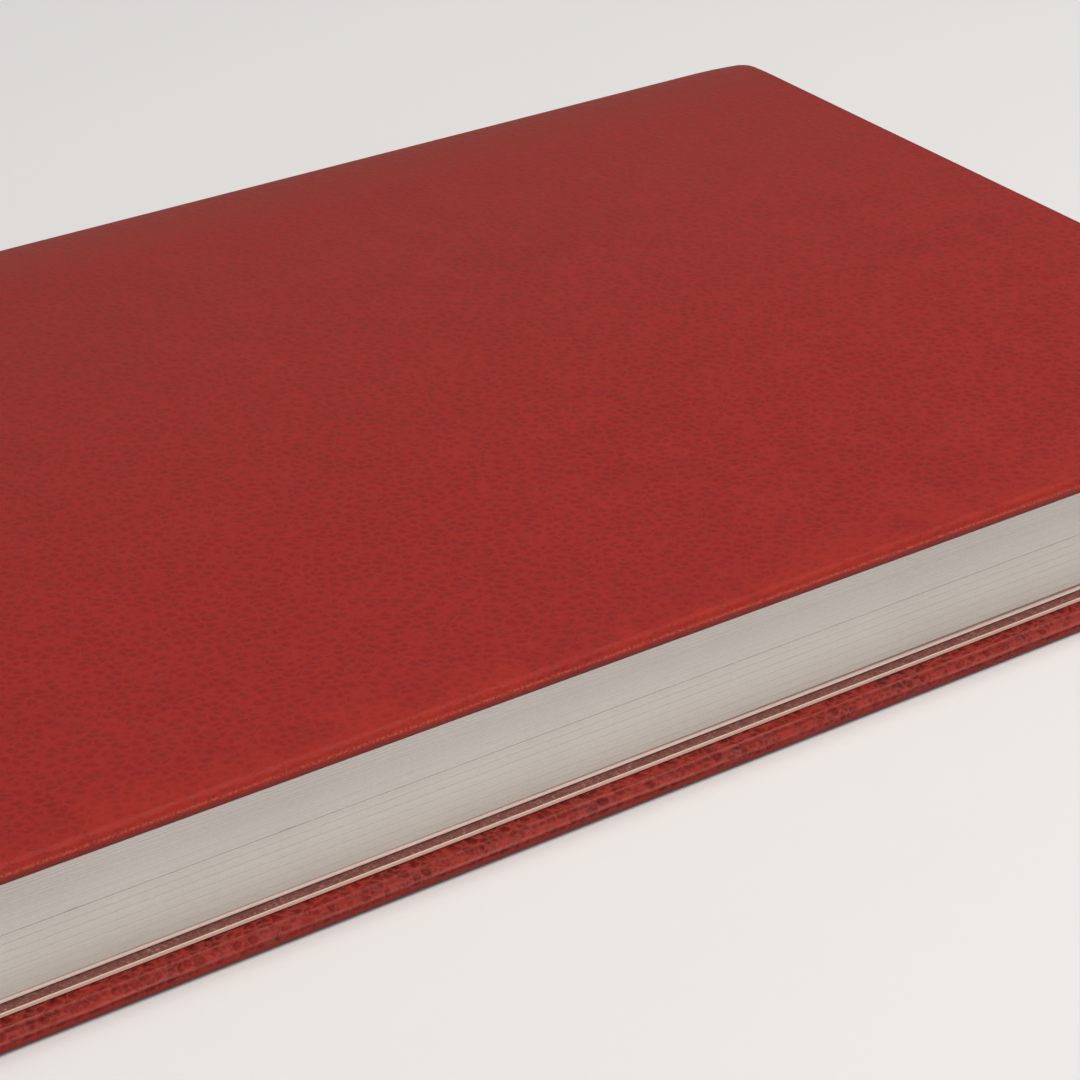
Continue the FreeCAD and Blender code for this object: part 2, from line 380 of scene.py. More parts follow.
def paperMaterial(name, light, dark, grainSize, bump, roughness=0.85, leaf=0.0, leafShade=0.9, rise=None):
    # fibrous paper; leaf gives the pitch of the fine lines on a trimmed edge, and rise
    # the painted shade at the foot of the block and the painted light at its top
    mat, tree, shader = newMaterial(name)
    at = restVector(tree)
    fibre = noiseNode(tree, at, 1 / grainSize, 5, 0.65)
    cloud = noiseNode(tree, at, 1 / (25 * mm), 2)
    tone = mixColor(tree, rangeNode(tree, fibre, 0.3, 0.7, 0, 1), dark, light)
    shade = shadeColor(tree, rangeNode(tree, cloud, 0.3, 0.7, 0.96, 1.03))
    tone = mixColor(tree, 1.0, tone, shade, "MULTIPLY")
    height = fibre
    if leaf:
        lines = restVector(tree, (6, 6, 1 / leaf))
        sheet = noiseNode(tree, lines, 1.0, 2, 0.6)
        tone = mixColor(
            tree, 1.0, tone,
            shadeColor(tree, rangeNode(tree, sheet, 0.3, 0.7, leafShade, 1.03)), "MULTIPLY")
        height = mathNode(tree, "ADD", fibre, sheet)
    if rise:
        apart = tree.nodes.new("ShaderNodeSeparateXYZ")
        tree.links.new(at, apart.inputs[0])
        # painted shade towards the foot of the block, painted light towards its top
        up = rangeNode(tree, apart.outputs[2], 4 * mm, zTop - 4 * mm, 0, 1)
        tone = mixColor(tree, 1.0, tone, mixColor(tree, up, rise[0], rise[1]), "MULTIPLY")
        edgeX = leafFore - 0.05 * mm
        places = [(edgeX, y * mm, middleZ + 0.03 * mm) for y in (-60.8, -88.5)]
        scuff = marks(tree, at, places, (1 * mm, 1.7 * mm, 0.16 * mm), 0.8)
        tone = mixColor(tree, mathNode(tree, "MULTIPLY", scuff, 0.45), tone, (0.16, 0.15, 0.14))
    tree.links.new(tone, shader.inputs["Base Color"])
    tree.links.new(bumpNode(tree, height, bump, 0.03 * mm), shader.inputs["Normal"])
    shader.inputs["Roughness"].default_value = roughness
    shader.inputs["Specular IOR Level"].default_value = 0.25
    return mat


def speckledMaterial():
    # maroon endpaper with pale and dark flecks
    mat, tree, shader = newMaterial("maroon_speckled_paper")
    at = restVector(tree)
    fleck = noiseNode(tree, at, 1 / (0.45 * mm), 3, 0.7)
    large = noiseNode(tree, at, 1 / (2.4 * mm), 3, 0.6)
    tone = ramp(tree, fleck, [
        (0.30, (0.150, 0.044, 0.036)), (0.46, (0.240, 0.080, 0.064)),
        (0.58, (0.290, 0.118, 0.096)), (0.70, (0.470, 0.270, 0.225))])
    tone = mixColor(tree, rangeNode(tree, large, 0.35, 0.7, 0, 0.4), tone, (0.20, 0.066, 0.054))
    tree.links.new(tone, shader.inputs["Base Color"])
    tree.links.new(bumpNode(tree, fleck, 0.3, 0.03 * mm), shader.inputs["Normal"])
    shader.inputs["Roughness"].default_value = 0.7
    shader.inputs["Specular IOR Level"].default_value = 0.3
    return mat


def clothMaterial(name, light, dark, pitch, bump=0.6):
    # plain weave in the plane of the block's back
    mat, tree, shader = newMaterial(name)
    at = restVector(tree)
    height = None
    for turn in ((0, 1, 0), (0, 0, 1)):
        w = tree.nodes.new("ShaderNodeTexWave")
        w.bands_direction = "Y" if turn[1] else "Z"
        w.inputs["Scale"].default_value = 0.314 / pitch
        w.inputs["Distortion"].default_value = 0.6
        tree.links.new(at, w.inputs["Vector"])
        height = w.outputs[1] if height is None else mathNode(tree, "MAXIMUM", height, w.outputs[1])
    fuzz = noiseNode(tree, at, 1 / (0.2 * mm), 3)
    tone = mixColor(tree, height, dark, light)
    shade = shadeColor(tree, rangeNode(tree, fuzz, 0.3, 0.7, 0.88, 1.05))
    tone = mixColor(tree, 1.0, tone, shade, "MULTIPLY")
    tree.links.new(tone, shader.inputs["Base Color"])
    tree.links.new(bumpNode(tree, height, bump, 0.08 * mm), shader.inputs["Normal"])
    shader.inputs["Roughness"].default_value = 0.9
    return mat


leather = leatherMaterial("red_pebbled_leather", 0.12, 0.10 * mm, 0.12)
turnedLeather = leatherMaterial("red_turned_leather", 0.50, 0.40 * mm, 0.60)
# page edges: rise paints shade at the foot of the block and light at its top
pageEdge = paperMaterial(
    "page_paper", (0.800, 0.760, 0.715), (0.760, 0.720, 0.675), 0.5 * mm, 0.08,
    leaf=0.16 * mm, leafShade=0.96, rise=((0.90, 0.885, 0.860), (1.04, 1.050, 1.060)))
pageFace = paperMaterial("page_face", (0.86, 0.82, 0.74), (0.82, 0.78, 0.70), 0.5 * mm, 0.10)
flyleafPaper = paperMaterial("flyleaf_paper", (0.94, 0.76, 0.69), (0.88, 0.69, 0.62), 0.4 * mm, 0.25)
creamCore = paperMaterial("cream_card_core", (0.93, 0.72, 0.59), (0.86, 0.64, 0.51), 0.3 * mm, 0.25)
speckled = speckledMaterial()
boardPaper = paperMaterial("grey_board", (0.20, 0.19, 0.17), (0.13, 0.12, 0.11), 0.6 * mm, 0.5)
cardPaper = paperMaterial("infill_card", (0.42, 0.37, 0.29), (0.34, 0.29, 0.22), 0.5 * mm, 0.4)
kraft = paperMaterial("kraft_lining", (0.36, 0.23, 0.12), (0.27, 0.165, 0.085), 0.5 * mm, 0.4)
tapeCloth = clothMaterial("linen_tape", (0.66, 0.58, 0.45), (0.42, 0.36, 0.27), 0.45 * mm)
mullCloth = clothMaterial("open_mull", (0.70, 0.66, 0.56), (0.33, 0.30, 0.25), 0.9 * mm)
threadWax = clothMaterial("linen_thread", (0.76, 0.70, 0.58), (0.55, 0.49, 0.39), 0.25 * mm)
print("materials made")


coverShape = {
    "hide": 0.6 * mm,
    "thick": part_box("front_cover_leather")[1].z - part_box("front_cover_leather")[0].z,
    "corner": 3.0 * mm,
    "edge": 1.0 * mm,
    "crease": {
        "height": 0.11 * mm,
        "width": 0.24 * mm,
        "back": (-0.15 * mm, 1.42 * mm),
        "front": (2.17 * mm,),
        "groove": 0.9,
    },
    "turnIn": 15 * mm,
    "wave": 0.05 * mm,
    "waveSize": 22 * mm,
    "wearHighlightAt": 1.12 * mm,
    "wearHighlightWidth": 0.34 * mm,
}


def outlineAt(inset, along=44, fore=72, turn=8):
    # plan outline of a board, open on the spine side, shrunk by the inset
    s = coverShape
    radius = max(s["corner"] - inset, 0)
    reach = max(s["corner"], inset)
    cx, cy = foreEdge - reach, halfHeight - reach
    head = [(boardEdge + (cx - boardEdge) * t, halfHeight - inset) for t in np.linspace(0, 1, along)]
    arc = [
        (cx + radius * math.sin(a), cy + radius * math.cos(a))
        for a in np.linspace(0, math.pi / 2, turn)
    ]
    side = [(foreEdge - inset, cy * (1 - 2 * t)) for t in np.linspace(0, 1, fore)]
    tail = [(x, -y) for x, y in (head + arc)[::-1]]
    return head + arc + side[1:-1] + tail


def edgeProfile():
    # (inset, depth below the outside face, inward normal, way past the start of the
    # rounding), from the turn-in to the middle
    s = coverShape
    r, t = s["edge"], s["thick"]
    rows = []
    turned = list(np.linspace(s["turnIn"], r + 1.2 * mm, 9))
    turned += [r + d * mm for d in (0.9, 0.6, 0.4, 0.25, 0.12, 0)]
    for i in turned:
        rows.append((i, t, 0, -1, r - i))
    for a in np.linspace(0, math.pi / 2, 13)[1:]:
        rows.append((r - r * math.sin(a), t - r + r * math.cos(a), math.sin(a), -math.cos(a), r * a))
    quarter = r * math.pi / 2
    for d in np.linspace(t - r, r, 7)[1:]:
        rows.append((0, d, 1, 0, quarter + t - r - d))
    for a in np.linspace(0, math.pi / 2, 9)[1:]:
        rows.append((r - r * math.cos(a), r - r * math.sin(a), math.cos(a), math.sin(a), 9 * mm))
    insets = [r + d * mm for d in (0.4, 0.9, 1.6, 2.6, 4, 6)]
    insets += list(np.linspace(r + 9 * mm, halfHeight, 34))
    rows += [(i, 0, 0, 1, 9 * mm) for i in insets]
    return rows


def creaseLift(way, x, y, side):
    # long folds where the leather is drawn round the edge of the board
    c = coverShape["crease"]
    total = 0
    for k, at in enumerate(c[side]):
        sway = 0.16 * mm * noise.noise(Vector((x, y, k * 5.0)) / (9 * mm))
        strength = 0.7 + 0.5 * noise.noise(Vector((y, x, k * 3.0)) / (14 * mm))
        total += strength * math.exp(-((way - at - sway) / c["width"]) ** 2)
        total -= strength * c["groove"] * math.exp(-((way - at - sway - 2.1 * c["width"]) / c["width"]) ** 2)
    return total


def addPointShare(piece, amount, name="edgeWearAndHighlight"):
    # share of a mark at each point, from a function of its place: the worn line with its painted highlight,
    # and the painted shade
    mesh = piece.data
    wear = mesh.attributes.new(name, "FLOAT", "POINT")
    wear.data.foreach_set("value", [amount(v.co) for v in mesh.vertices])


def coverHide(name, front):
    s = coverShape
    rows = edgeProfile()
    outer, inner, foldShades = [], [], []
    for inset, depth, nIn, nDepth, way in rows:
        outlineOut = outlineAt(inset)
        outlineIn = outlineAt(min(inset + s["hide"] * nIn, halfHeight))
        rowOut, rowIn, rowFoldShade = [], [], []
        for (x, y), (u, v) in zip(outlineOut, outlineIn):
            lift = s["wave"] * noise.noise(Vector((x, y, 3.0 if front else 7.0)) / s["waveSize"])
            d = depth + (lift if depth < s["thick"] / 2 else 0) * 0.5 + s["wave"] * 0.25
            e = depth + s["hide"] * nDepth
            # the fold's lift, kept as painted highlight on its crests and painted shade in its grooves
            tone = creaseLift(way, x, y, "front" if front else "back")
            rowFoldShade.append(tone * (0.3 if front else 1))
            fold = tone * s["crease"]["height"] * (0.4 if front else 1)
            x, y = x + (x - u) / s["hide"] * fold, y + (y - v) / s["hide"] * fold
            d -= nDepth * fold
            rowOut.append((x, y, zTop - d if front else d))
            rowIn.append((u, v, zTop - e if front else e))
        outer.append(rowOut)
        inner.append(rowIn)
        foldShades.append(rowFoldShade)
    values = {"foldLightAndShade": np.array(foldShades)}
    piece = sheetSolid(name, np.array(outer), np.array(inner), leather, meets=True, values=values)
    piece.data.materials.append(turnedLeather)
    for p in piece.data.polygons:
        depth = zTop - p.center.z if front else p.center.z
        if depth > s["thick"] * (0.85 if front else 0.42):
            p.material_index = 1

    # worn line with a painted highlight, on the front board's fore-edge only
    def amount(p):
        near = front and foreEdge - p.x < 0.6 * mm
        return max(0, 1 - abs(zTop - p.z - s["wearHighlightAt"]) / s["wearHighlightWidth"]) if near else 0.0

    def edgeShade(p):
        # painted shade: the dark ends, and the shaded underside of the fore-edge
        ends = max(0, 1 - (halfHeight - abs(p.y)) / (1.1 * mm)) if p.x < foreEdge - 4 * mm else 0.0
        depth = zTop - p.z if front else s["thick"] - p.z
        under = 0.0
        if p.x > foreEdge - 1.2 * mm:
            under = max(0, depth / s["thick"] - (0.50 if front else 0.56)) * 2.3
        return min(0.85, max(ends, under))

    addPointShare(piece, amount)
    addPointShare(piece, edgeShade, "paintedEdgeShade")
    return piece


frontHide = coverHide("front_hide", True)
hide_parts("front_cover_leather")
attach(frontHide, "front_cover")
backHide = coverHide("back_hide", False)
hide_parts("back_cover_leather")
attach(backHide, "back_cover")
print("boards covered")


spineShape = {
    "hide": 0.6 * mm,
    "drop": 0.6 * mm,
    "shoulder": 5.0 * mm,
    "bulge": backPlane - cadLow.x,
    "joined": 12,              # degrees round the shoulder where the joint curve ends
    "cut": 35,                 # degrees round the shoulder where the spine piece starts
    "lap": 12 * mm,
    "pull": 0.7 * mm,          # how far the ends draw in at the spine
    "dip": 0.45 * mm,          # how far the shoulder sinks at its very ends
    "dipLength": 10 * mm,
    "foldAtBoard": 2.7 * mm,
    "foldAtJoint": 1.4 * mm,
    "foldAtSpine": 2.0 * mm,
}
shoulderX = backPlane
shoulderZ = zTop - spineShape["drop"] - spineShape["shoulder"]
flank = shoulderZ - middleZ
roundR = (spineShape["bulge"] ** 2 + flank ** 2 - spineShape["shoulder"] ** 2) / (
    2 * (spineShape["bulge"] - spineShape["shoulder"]))
roundX = backPlane - spineShape["bulge"] + roundR
turnAngle = math.pi / 2 - math.asin(flank / (roundR - spineShape["shoulder"]))


def onShoulder(angle):
    # (x, z, inward normal) on the upper shoulder, the angle counted from straight up
    r = spineShape["shoulder"]
    return (shoulderX - r * math.sin(angle), shoulderZ + r * math.cos(angle),
            math.sin(angle), -math.cos(angle))


def jointCurve(steps=26):
    # from the board's edge, flat, down a soft hollow and into the shoulder
    a = math.radians(spineShape["joined"])
    ex, ez, _, _ = onShoulder(a)
    x0, z0 = boardEdge, zTop - coverShape["wave"] * 0.25
    run = x0 - ex
    points = []
    for t in np.linspace(0, 1, steps):
        h00 = 2 * t**3 - 3 * t**2 + 1
        h01, h11 = -2 * t**3 + 3 * t**2, t**3 - t**2
        x = x0 - run * t
        z = h00 * z0 + h01 * ez + h11 * run * -math.tan(a)
        slope = ((6 * t**2 - 6 * t) * z0 + (6 * t - 6 * t**2) * ez
                 + (3 * t**2 - 2 * t) * run * -math.tan(a)) / run
        length = math.hypot(1, slope)
        points.append((x, z, -slope / length, -1 / length))
    for angle in np.linspace(a, math.radians(spineShape["cut"]), 8)[1:]:
        points.append(onShoulder(angle))
    return points


def spineHalfCurve():
    # from the end of the joint round to the middle of the spine
    points = [onShoulder(a) for a in np.linspace(math.radians(spineShape["cut"]), turnAngle, 14)]
    sweep = math.pi / 2 - turnAngle
    for a in np.linspace(sweep, 0, 18)[1:]:
        points.append((roundX - roundR * math.cos(a), middleZ + roundR * math.sin(a),
                       math.cos(a), -math.sin(a)))
    return points


def upsideDown(curve):
    return [(x, zTop - z, nx, -nz) for x, z, nx, nz in curve]


def ease(t):
    t = min(1, max(0, t))
    return t * t * (3 - 2 * t)


def endPull(x):
    # the head and tail edges draw in round the spine
    return spineShape["pull"] * ease((hingeX + 1 * mm - x) / (spineShape["bulge"] + 1 * mm))


def endDip(x, y):
    # the shoulders sink a little where the leather is pulled over the ends
    past = (abs(y) - halfHeight + spineShape["dipLength"]) / spineShape["dipLength"]
    return spineShape["dip"] * ease((hingeX + 3 * mm - x) / (6 * mm)) * max(0, past) ** 2


def foldDepth(x, z):
    # thickness that the leather wraps round at the head and the tail
    s = spineShape
    if x > hingeX:
        t = min(1, (boardEdge - x) / (boardEdge - hingeX))
        return s["foldAtBoard"] + (s["foldAtJoint"] - s["foldAtBoard"]) * t * t * (3 - 2 * t)
    t = min(1, (hingeX - x) / (4 * mm))
    return s["foldAtJoint"] + (s["foldAtSpine"] - s["foldAtJoint"]) * t * t * (3 - 2 * t)


def evenColumns(columns, rows):
    # a column whose fold has no straight part is one point short at each end
    even = []
    for c in columns:
        even.append(c if len(c) == rows else [p for i, p in enumerate(c) if i not in (11, len(c) - 12)])
    return even


def curvedHide(name, curve, along=70):
    s = spineShape
    columns = []
    for x, z, nx, nz in curve:
        fold, end = foldDepth(x, z), halfHeight - endPull(x)
        r = min(coverShape["edge"], fold / 2)
        turned = [(s["lap"] - (s["lap"] - r) * t, fold, 0, -1) for t in np.linspace(0, 1, 6)]
        for a in np.linspace(0, math.pi / 2, 6)[1:]:
            turned.append((r - r * math.sin(a), fold - r + r * math.cos(a), math.sin(a), -math.cos(a)))
        for a in np.linspace(0, math.pi / 2, 7)[1 if fold - 2 * r < 0.01 * mm else 0:]:
            turned.append((r - r * math.cos(a), r - r * math.sin(a), math.cos(a), math.sin(a)))
        path = [(end - i, d, -ny, nd) for i, d, ny, nd in turned]
        path += [(y, 0, 0, 1) for y in np.linspace(end - r - 1.5 * mm, 1.5 * mm + r - end, along)]
        path += [(i - end, d, ny, nd) for i, d, ny, nd in turned[::-1]]
        column = []
        for y, d, ny, nd in path:
            d = d + endDip(x, y)
            e = d + s["hide"] * nd
            column.append((
                (x + nx * d, y, z + nz * d),
                (x + nx * e, y + s["hide"] * ny, z + nz * e)))
        columns.append(column)
    grid = np.array(evenColumns(columns, min(len(c) for c in columns)))
    piece = sheetSolid(name, grid[:, :, 0], grid[:, :, 1], leather)
    addPointShare(piece, lambda p: 0.0)
    return piece


frontJoint = curvedHide("front_joint_hide", jointCurve())
backJoint = curvedHide("back_joint_hide", upsideDown(jointCurve()))
upperSpine = curvedHide("upper_spine_hide", spineHalfCurve())
lowerSpine = curvedHide("lower_spine_hide", upsideDown(spineHalfCurve()))

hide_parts("front_joint_leather")
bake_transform(frontJoint)
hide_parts("back_joint_leather")
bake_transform(backJoint)
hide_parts("spine_leather")
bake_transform(upperSpine)
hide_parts("spine_leather")
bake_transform(lowerSpine)
print("spine covered")


leafShape = {
    "leaves": 8,
    "gap": 0.34 * mm,
    "gapFrom": -60 * mm,
    "gapTo": 70 * mm,
    "jitter": 0.022 * mm,
    "notch": 0.02 * mm,
    "edgeRound": {"lower": 0.03 * mm, "upper": 0.004 * mm},
    "swell": {"lower": 0.008 * mm, "upper": 0.0185 * mm},   # leaves spring up against each other
    "seed": 11,
}
draw = random.Random(leafShape["seed"])
sectionNames = [n for n in sorted(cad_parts) if n.startswith("section_")]


def sectionOutline(low, high, half):
    # rounded fold at the back, one step for each leaf at the fore-edge
    s = leafShape
    edge = s["edgeRound"][half]
    low.z -= s["swell"][half]
    high.z += s["swell"][half]
    r = (high.z - low.z) / 2
    loop = [
        (low.x + r - r * math.sin(a), low.z + r - r * math.cos(a))
        for a in np.linspace(0, math.pi, 13)
    ]
    pitch = (high.z - low.z) / s["leaves"]
    for i in range(s["leaves"] - 1, -1, -1):
        x = high.x - s["jitter"] * draw.random()
        top, bottom = low.z + (i + 1) * pitch, low.z + i * pitch
        if i == s["leaves"] - 1:
            loop.append((x - edge, top))
            loop.append((x, top - edge))
        else:
            loop.append((x, top - s["notch"] * 0.4))
        if i:
            loop.append((x, bottom + s["notch"] * 0.4))
            loop.append((x - s["notch"], bottom))
        else:
            loop.append((x, bottom + edge))
            loop.append((x - edge, bottom))
    return loop


def opening(y):
    # the gap under the block grows from the middle towards the head
    return ease((y - leafShape["gapFrom"]) / (leafShape["gapTo"] - leafShape["gapFrom"]))


def liftLeaves(piece, low, high):
    # the lowest leaves stand up a little from the endpaper, most at the fore-edge
    for v in piece.data.vertices:
        share = (high.z - v.co.z) / (high.z - low.z)
        v.co.z += leafShape["gap"] * opening(v.co.y) * share * (v.co.x - low.x) / (high.x - low.x)


for index, node in enumerate(sectionNames):
    low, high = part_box(node)
    half = "lower" if index < len(sectionNames) / 2 else "upper"
    stations = np.linspace(low.y, high.y, 25)
    piece = prism(node + "_leaves", sectionOutline(low, high, half), stations, pageEdge, 30)
    piece.data.materials.append(pageFace)
    for p in piece.data.polygons:
        if abs(p.normal.z) > 0.9:
            p.material_index = 1
    if index == 0:
        liftLeaves(piece, low, high)
    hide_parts(node)
    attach(piece, half + "_block")
print("leaves made")


paperShape = {
    "edgeRound": 0.12 * mm,
    "hingeThick": 0.2 * mm,
    "settle": 0.10 * mm,       # how far the free sheet sinks towards its cover at the head
    "thin": 0.12 * mm,         # paper lighter than the room left for it
    "overhang": 0.25 * mm,     # of the free sheet past the leaves
    "underLift": 0.30,         # share of the thickness by which the rim stands off the leather
}


def twoFacedPlate(name, low, high, faceMaterial, edgeMaterial, faceUp, bend=None, steps=(24, 40)):
    # thin plate with softened rims; the printed face has its own material
    r = paperShape["edgeRound"]
    verts, faces = [], []
    band = 1.2 * mm   # rim with closer rows
    xs = [low.x, low.x + r] + list(np.linspace(low.x + band, high.x - band, steps[0]))
    xs += [high.x - r, high.x]
    ys = [low.y, low.y + r] + list(np.linspace(low.y + band, high.y - band, steps[1]))
    ys += [high.y - r, high.y]
    under = paperShape["underLift"] * (high.z - low.z)

    def place(x, y, top):
        rim = min(x - low.x, high.x - x, y - low.y, high.y - y)
        if top == faceUp:
            drop = r * 0.5 if rim < r / 2 else 0
        else:
            drop = under * max(0, 1 - rim / band)
        z = high.z - drop if top else low.z + drop
        return (x, y, z + (bend(x, y, top) if bend else 0))

    for top in (False, True):
        verts += [place(x, y, top) for y in ys for x in xs]
    outer = np.array(verts[:len(xs) * len(ys)]).reshape(len(ys), len(xs), 3)
    inner = np.array(verts[len(xs) * len(ys):]).reshape(len(ys), len(xs), 3)
    piece = sheetSolid(name, outer, inner, edgeMaterial, sharp=50)
    piece.data.materials.append(faceMaterial)
    sign = 1 if faceUp else -1
    for p in piece.data.polygons:
        if p.normal.z * sign > 0.9:
            p.material_index = 1
    return piece


def pastedown(side):
    low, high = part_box(side + "_pastedown")
    piece = twoFacedPlate(side + "_endpaper", low, high, speckled, creamCore, side == "back")
    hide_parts(side + "_pastedown")
    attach(piece, side + "_cover")


def flyleaf(side, body):
    # the sheet settles a little towards its cover at the head, so a gap opens there
    low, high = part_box(side + "_flyleaf")
    high.x += paperShape["overhang"]
    sign = 1 if side == "back" else -1

    def bend(x, y, top):
        t = opening(y) * min(1, max(0, (x - low.x) / (60 * mm)))
        faceIn = top if side == "back" else not top
        return -sign * (paperShape["thin"] + paperShape["settle"] * t) if faceIn else 0

    piece = twoFacedPlate(side + "_free_endpaper", low, high, flyleafPaper, flyleafPaper, True, bend)
    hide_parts(side + "_flyleaf")
    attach(piece, body)


def hingePaper(side):
    # the fold of the endpaper, between the pasted half and the free half
    pasted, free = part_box(side + "_pastedown"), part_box(side + "_flyleaf")
    front = side == "front"
    zBoard = (pasted[0].z + 0.12 * mm) if front else (pasted[1].z - 0.12 * mm)
    zBlock = (free[1].z - 0.12 * mm) if front else (free[0].z + 0.12 * mm)
    halfThick = paperShape["hingeThick"] / 2
    grids = []
    for shift in (-halfThick, halfThick):
        grid = []
        for t in np.linspace(0, 1, 15):
            part = ease(t)
            x = free[0].x + (pasted[0].x - free[0].x) * t
            z = zBlock + (zBoard - zBlock) * part + shift
            reach = free[1].y + (pasted[1].y - free[1].y) * part
            grid.append([(x, y, z) for y in np.linspace(-reach, reach, 30)])
        grids.append(np.array(grid))
    piece = sheetSolid(side + "_endpaper_fold", grids[0], grids[1], speckled)
    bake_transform(piece)


pastedown("back")
pastedown("front")
flyleaf("back", "back_flyleaf")
flyleaf("front", "front_joint")
hingePaper("back")
hingePaper("front")
print("endpapers made")


backShape = {"bendReach": 1.2 * mm, "rib": 0.55 * mm, "ribDepth": 0.09 * mm}


def acrossTheBack(name, node, material, steps=40):
    low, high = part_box(node)
    zs = np.linspace(low.z, high.z, steps)
    ys = np.linspace(low.y, high.y, max(2, int((high.y - low.y) / (4 * mm))))
    outer = np.array([[(low.x, y, z) for y in ys] for z in zs])
    inner = np.array([[(high.x, y, z) for y in ys] for z in zs])
    piece = sheetSolid(name, outer, inner, material)
    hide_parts(node)
    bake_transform(piece)
    return piece


for node in ("tape_tail", "tape_middle", "tape_head"):
    acrossTheBack(node + "_linen", node, tapeCloth)
acrossTheBack("mull_cloth", "mull", mullCloth)
acrossTheBack("kraft_strip", "spine_lining", kraft)


def headbandMaterial():
    mat, tree, shader = newMaterial("striped_headband")
    at = restVector(tree)
    w = tree.nodes.new("ShaderNodeTexWave")
    w.bands_direction = "Z"
    w.inputs["Scale"].default_value = 0.314 / (2 * backShape["rib"] * 2)
    tree.links.new(at, w.inputs["Vector"])
    tone = ramp(tree, w.outputs[1], [(0.44, (0.30, 0.035, 0.03)), (0.56, (0.72, 0.62, 0.46))])
    tree.links.new(tone, shader.inputs["Base Color"])
    fuzz = noiseNode(tree, at, 1 / (0.15 * mm), 3)
    tree.links.new(bumpNode(tree, fuzz, 0.4, 0.04 * mm), shader.inputs["Normal"])
    shader.inputs["Roughness"].default_value = 0.6
    return mat


bandSilk = headbandMaterial()


def headband(side):
    # ribbed bead standing on the end of the block, with its skirt down the back
    node = "headband_" + side
    low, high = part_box(node)
    sign = 1 if side == "head" else -1
    tip = high.y if sign > 0 else low.y
    foot = low.y if sign > 0 else high.y
    r = (high.x - low.x) / 2
    cx, cy = low.x + r, tip - sign * r
    zs = np.linspace(low.z, high.z, 150)
    grid = []
    for z in zs:
        swell = r - backShape["ribDepth"] * (0.5 + 0.5 * math.cos(2 * math.pi * z / backShape["rib"]))
        ring = [(low.x + 0.02 * mm, foot, z), (low.x + 0.02 * mm, cy, z)]
        ring += [
            (cx - swell * math.cos(a), cy + sign * swell * math.sin(a), z)
            for a in np.linspace(0, 1.35 * math.pi, 16)
        ]
        ring += [(low.x + 0.3 * mm, cy - sign * r, z), (low.x + 0.3 * mm, foot, z)]
        grid.append(ring)
    n = len(grid[0])
    verts = [p for ring in grid for p in ring]
    faces = []
    for k in range(len(grid) - 1):
        for i in range(n):
            j = (i + 1) % n
            faces.append((k * n + i, k * n + j, (k + 1) * n + j, (k + 1) * n + i))
    faces.append(tuple(range(n)))
    faces.append(tuple(range(len(verts) - 1, len(verts) - 1 - n, -1)))
    piece = finishMesh(node + "_silk", verts, faces, bandSilk)
    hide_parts(node)
    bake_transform(piece)


headband("head")
headband("tail")

threadShape = {"radius": 0.2 * mm, "reach": 5.4 * mm, "sides": 8}


def threadTube(points, sides=threadShape["sides"]):
    # round tube through the points, as vertices and faces
    verts, faces = [], []
    points = [Vector(p) for p in points]
    for i, p in enumerate(points):
        ahead = points[min(i + 1, len(points) - 1)] - points[max(i - 1, 0)]
        ahead.normalize()
        across = ahead.cross(Vector((0, 0, 1)))
        if across.length < 0.1:
            across = ahead.cross(Vector((1, 0, 0)))
        across.normalize()
        up = across.cross(ahead)
        for k in range(sides):
            a = 2 * math.pi * k / sides
            verts.append(p + threadShape["radius"] * (across * math.cos(a) + up * math.sin(a)))
    for i in range(len(points) - 1):
        for k in range(sides):
            j = (k + 1) % sides
            faces.append((i * sides + k, i * sides + j, (i + 1) * sides + j, (i + 1) * sides + k))
    faces.append(tuple(range(sides - 1, -1, -1)))
    last = (len(points) - 1) * sides
    faces.append(tuple(range(last, last + sides)))
    return verts, faces


def tapeStitches():
    verts, faces = [], []
    s = threadShape
    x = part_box("sewing_thread")[0].x + s["radius"]
    for tape in ("tape_tail", "tape_middle", "tape_head"):
        low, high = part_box(tape)
        y = (low.y + high.y) / 2
        for n in sectionNames:
            a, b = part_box(n)
            z = (a.z + b.z) / 2
            points = [(backPlane, y - s["reach"], z), (x + 0.15 * mm, y - s["reach"] + 0.05 * mm, z)]
            points += [(x - 0.02 * mm * math.sin(math.pi * t), y + s["reach"] * (1.92 * t - 0.96), z)
                       for t in np.linspace(0, 1, 7)]
            points += [(x + 0.15 * mm, y + s["reach"] - 0.05 * mm, z), (backPlane, y + s["reach"], z)]
            v, f = threadTube(points)
            faces += [tuple(i + len(verts) for i in face) for face in f]
            verts += v
    piece = finishMesh("tape_stitches", verts, faces, threadWax, weldAt=0.0001 * mm)
    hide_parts("sewing_thread")
    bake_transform(piece)


tapeStitches()


def kettleChain():
    verts, faces = [], []
    low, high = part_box("sewing_thread")
    x = backPlane - threadShape["radius"]
    for y in (low.y + threadShape["radius"], high.y - threadShape["radius"]):
        zs = np.linspace(low.z + 0.1 * mm, high.z - 0.1 * mm, 90)
        points = [(x, y + 0.12 * mm * math.sin(2 * math.pi * z / (1.17 * mm)), z) for z in zs]
        v, f = threadTube(points)
        faces += [tuple(i + len(verts) for i in face) for face in f]
        verts += v
    piece = finishMesh("kettle_chain", verts, faces, threadWax, weldAt=0.0001 * mm)
    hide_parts("sewing_thread")
    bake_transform(piece)


kettleChain()
print("sewing and linings made")


keptLooks = {
    "board": boardPaper,
    "infill": cardPaper,
    "tape_slips": tapeCloth,
    "mull_flap": mullCloth,
    "stiffener": cardPaper,
}


def objectPaper(source, name):
    # same look, read from object coordinates, for pieces kept from the frame
    mat = source.copy()
    mat.name = name
    tree = mat.node_tree
    for node in [n for n in tree.nodes if n.type == "ATTRIBUTE"]:
        place = tree.nodes.new("ShaderNodeTexCoord")
        for link in list(node.outputs["Vector"].links):
            tree.links.new(place.outputs["Object"], link.to_socket)
        tree.nodes.remove(node)
    return mat


